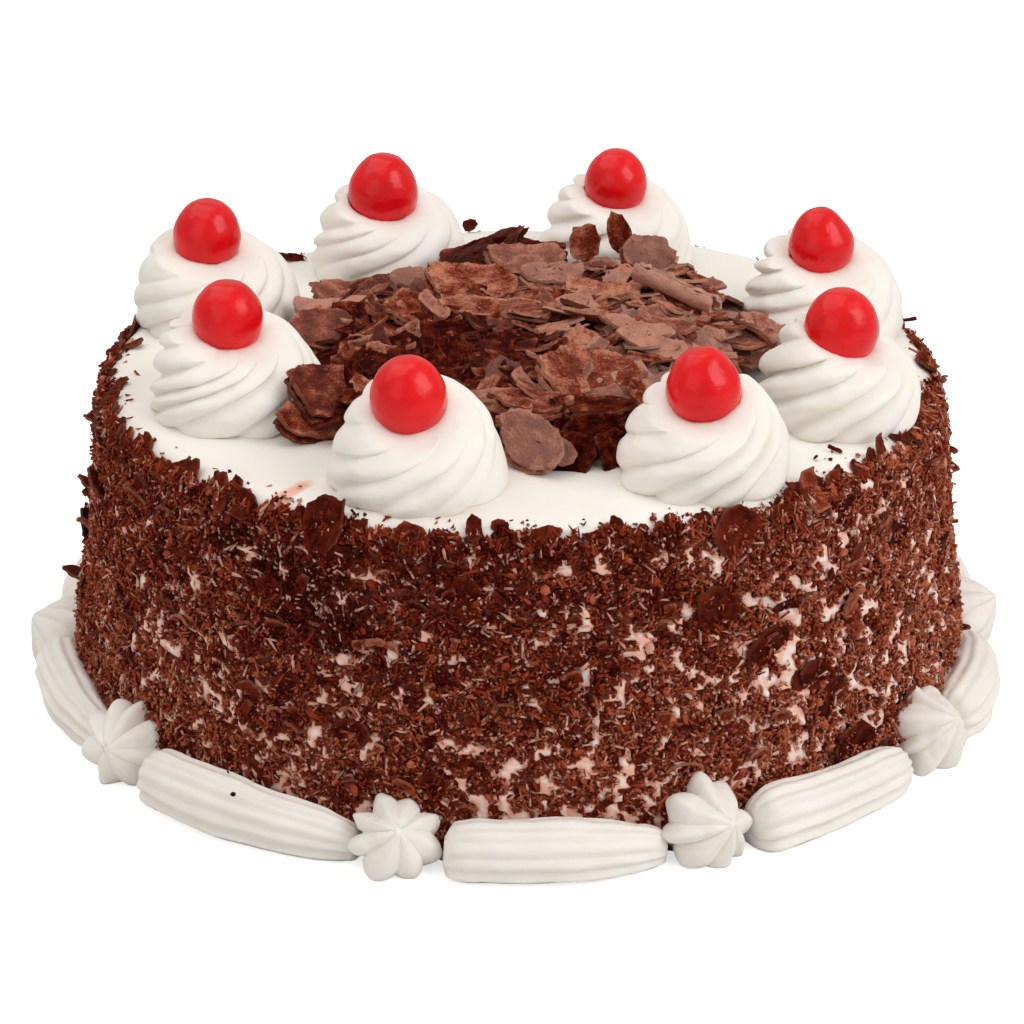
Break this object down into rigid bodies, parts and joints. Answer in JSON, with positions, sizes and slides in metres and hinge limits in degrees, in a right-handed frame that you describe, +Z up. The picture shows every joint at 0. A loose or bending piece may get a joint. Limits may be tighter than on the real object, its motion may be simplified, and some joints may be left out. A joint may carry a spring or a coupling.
{
  "type": "black forest cake",
  "caption": "Round uncut cream cake coated in chocolate shavings, with piped swirls and cherries round a heap of chocolate flakes.",
  "frame": {"origin": "centre of the cake on the surface that it stands on", "axes": "+Z up out of the top of the cake, -Y towards the front, +X to the right"},
  "size_m": [0.253, 0.2511, 0.1155],
  "materials": {
    "cream": "soft satin whipped cream",
    "cherry": "glossy syrup glaze",
    "shavings": "matt grated chocolate",
    "flakes": "dull scraped chocolate"
  },
  "bodies": {
    "root": {"cake_body": "shavings", "cherry_back_left": "cherry", "cherry_back_right": "cherry", "cherry_front_left": "cherry", "cherry_front_right": "cherry", "cherry_left_back": "cherry", "cherry_left_front": "cherry", "cherry_right_back": "cherry", "cherry_right_front": "cherry", "flake_heap": "flakes", "log_01": "cream", "log_02": "cream", "log_03": "cream", "log_04": "cream", "log_05": "cream", "log_06": "cream", "log_07": "cream", "log_08": "cream", "log_09": "cream", "log_10": "cream", "star_01": "cream", "star_02": "cream", "star_03": "cream", "star_04": "cream", "star_05": "cream", "star_06": "cream", "star_07": "cream", "star_08": "cream", "star_09": "cream", "star_10": "cream", "swirl_back_left": "cream", "swirl_back_right": "cream", "swirl_front_left": "cream", "swirl_front_right": "cream", "swirl_left_back": "cream", "swirl_left_front": "cream", "swirl_right_back": "cream", "swirl_right_front": "cream"}
  },
  "joints": []
}
